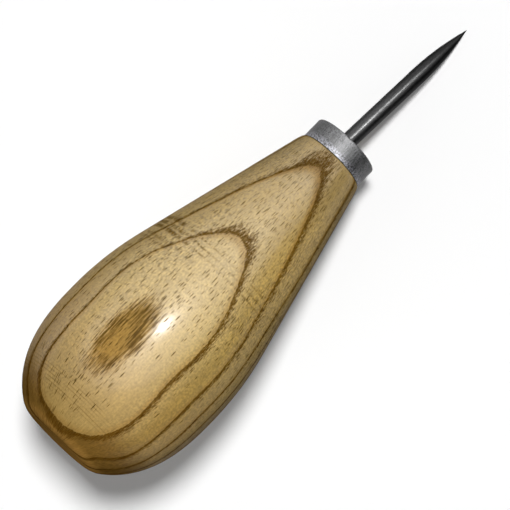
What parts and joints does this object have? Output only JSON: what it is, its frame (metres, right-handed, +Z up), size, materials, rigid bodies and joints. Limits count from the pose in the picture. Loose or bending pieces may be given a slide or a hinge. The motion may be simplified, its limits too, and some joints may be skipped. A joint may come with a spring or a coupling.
{
  "type": "leather awl",
  "caption": "Leather awl lying on a bench: pear-shaped turned wooden haft with a flat butt, a short steel ferrule and a round steel blade with a tapered point.",
  "frame": {"origin": "middle of the awl's box, on the bench that its belly and its point lie on", "axes": "+X from the butt to the point along the bench, +Z up; the haft's axis dips from butt to point by the angle at which belly and point both touch the bench"},
  "size_m": [0.121, 0.0398, 0.042],
  "materials": {
    "haft_wood": "clear gloss lacquer over ash-like ring-porous wood",
    "ferrule_steel": "dull grey, brushed along the axis",
    "blade_steel": "dark ground steel, satin"
  },
  "bodies": {
    "root": {"wooden_haft": "haft_wood", "ferrule": "ferrule_steel", "awl_blade": "blade_steel"}
  },
  "joints": []
}
